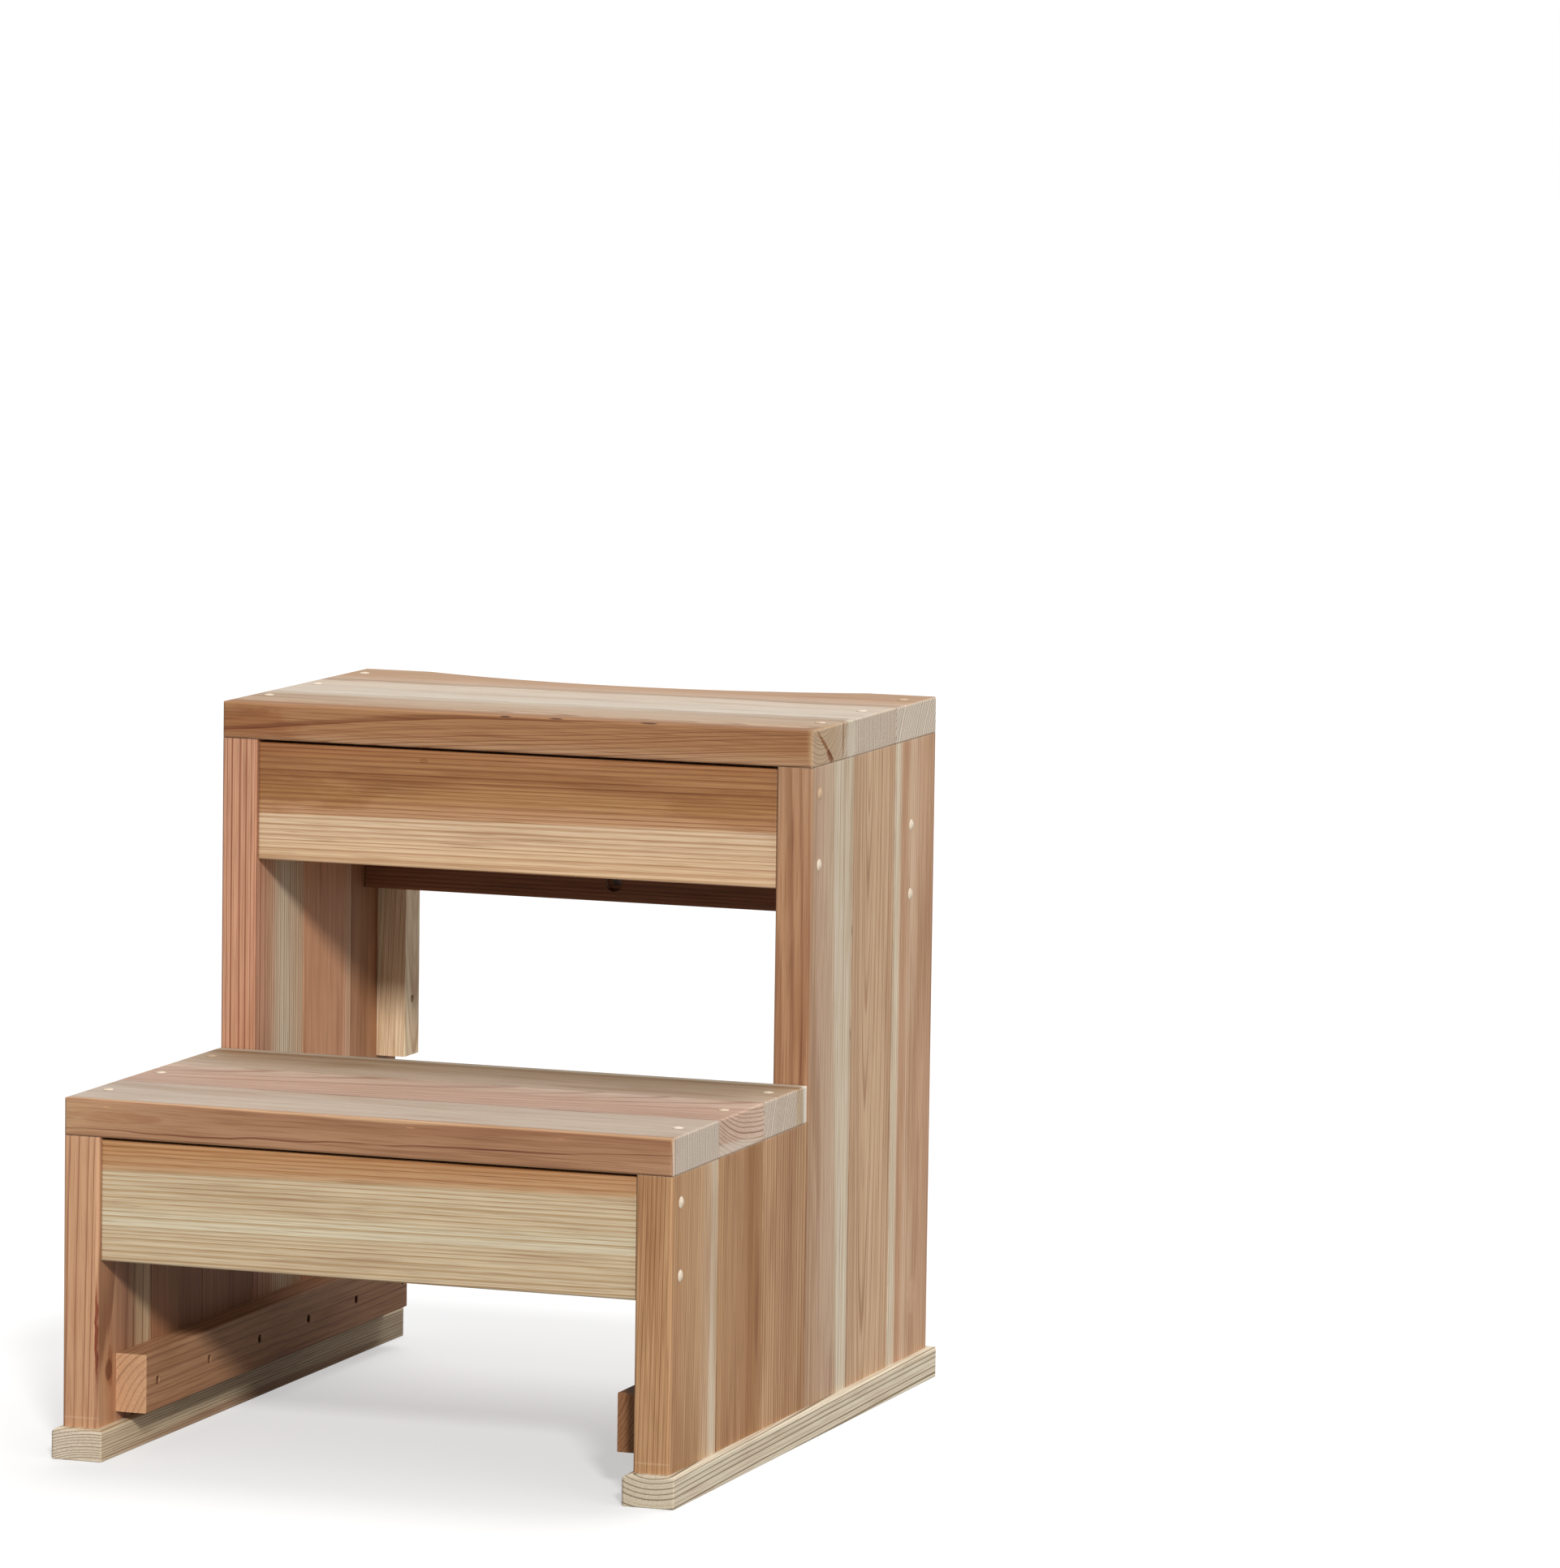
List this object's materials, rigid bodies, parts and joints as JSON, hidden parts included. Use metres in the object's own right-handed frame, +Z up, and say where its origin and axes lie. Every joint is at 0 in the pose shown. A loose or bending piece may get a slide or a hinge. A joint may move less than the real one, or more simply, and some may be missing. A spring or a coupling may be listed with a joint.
{
  "type": "spa steps",
  "caption": "Free-standing cedar steps for a hot tub: two plank treads on jointed side panels, with cross aprons, base runners and an arc cut to fit round the tub.",
  "frame": {"origin": "on the ground, under the middle of the steps' outer box", "axes": "+X to the right as seen by someone about to climb, +Y from the front to the back, towards the tub, +Z up"},
  "size_m": [0.66, 0.799, 0.7226],
  "materials": {
    "cedar_pink": "bare sanded cedar heartwood, pinkish tan with fine straight growth lines",
    "cedar_brown": "bare sanded cedar heartwood, medium brown with darker streaks",
    "cedar_cream": "bare sanded cedar sapwood, cream with thin golden growth lines",
    "plug_wood": "pale domed wooden plugs, sanded",
    "screw_steel": "plain stainless wood screws, satin"
  },
  "bodies": {
    "root": {"left_side_board_1": "cedar_pink", "left_side_board_2": "cedar_brown", "left_side_board_3": "cedar_pink", "left_side_board_4": "cedar_brown", "left_side_board_5": "cedar_brown", "left_side_board_6": "cedar_pink", "right_side_board_1": "cedar_pink", "right_side_board_2": "cedar_brown", "right_side_board_3": "cedar_pink", "right_side_board_4": "cedar_pink", "right_side_board_5": "cedar_pink", "right_side_board_6": "cedar_brown", "lower_tread_front_board": "cedar_pink", "lower_tread_middle_board": "cedar_pink", "lower_tread_back_board": "cedar_pink", "upper_tread_front_board": "cedar_brown", "upper_tread_middle_board": "cedar_cream", "upper_tread_back_board": "cedar_pink", "lower_apron": "cedar_cream", "upper_apron": "cedar_brown", "rear_rail": "cedar_brown", "left_base_runner": "cedar_cream", "right_base_runner": "cedar_cream", "left_bottom_cleat": "cedar_brown", "right_bottom_cleat": "cedar_brown", "left_rear_cleat": "cedar_cream", "right_rear_cleat": "cedar_cream", "lower_tread_plugs": "plug_wood", "upper_tread_plugs": "plug_wood", "left_side_plugs": "plug_wood", "right_side_plugs": "plug_wood", "tread_screws": "screw_steel", "apron_screws": "screw_steel", "rail_screws": "screw_steel", "bottom_cleat_screws": "screw_steel", "rear_cleat_screws": "screw_steel", "runner_screws": "screw_steel"}
  },
  "joints": []
}
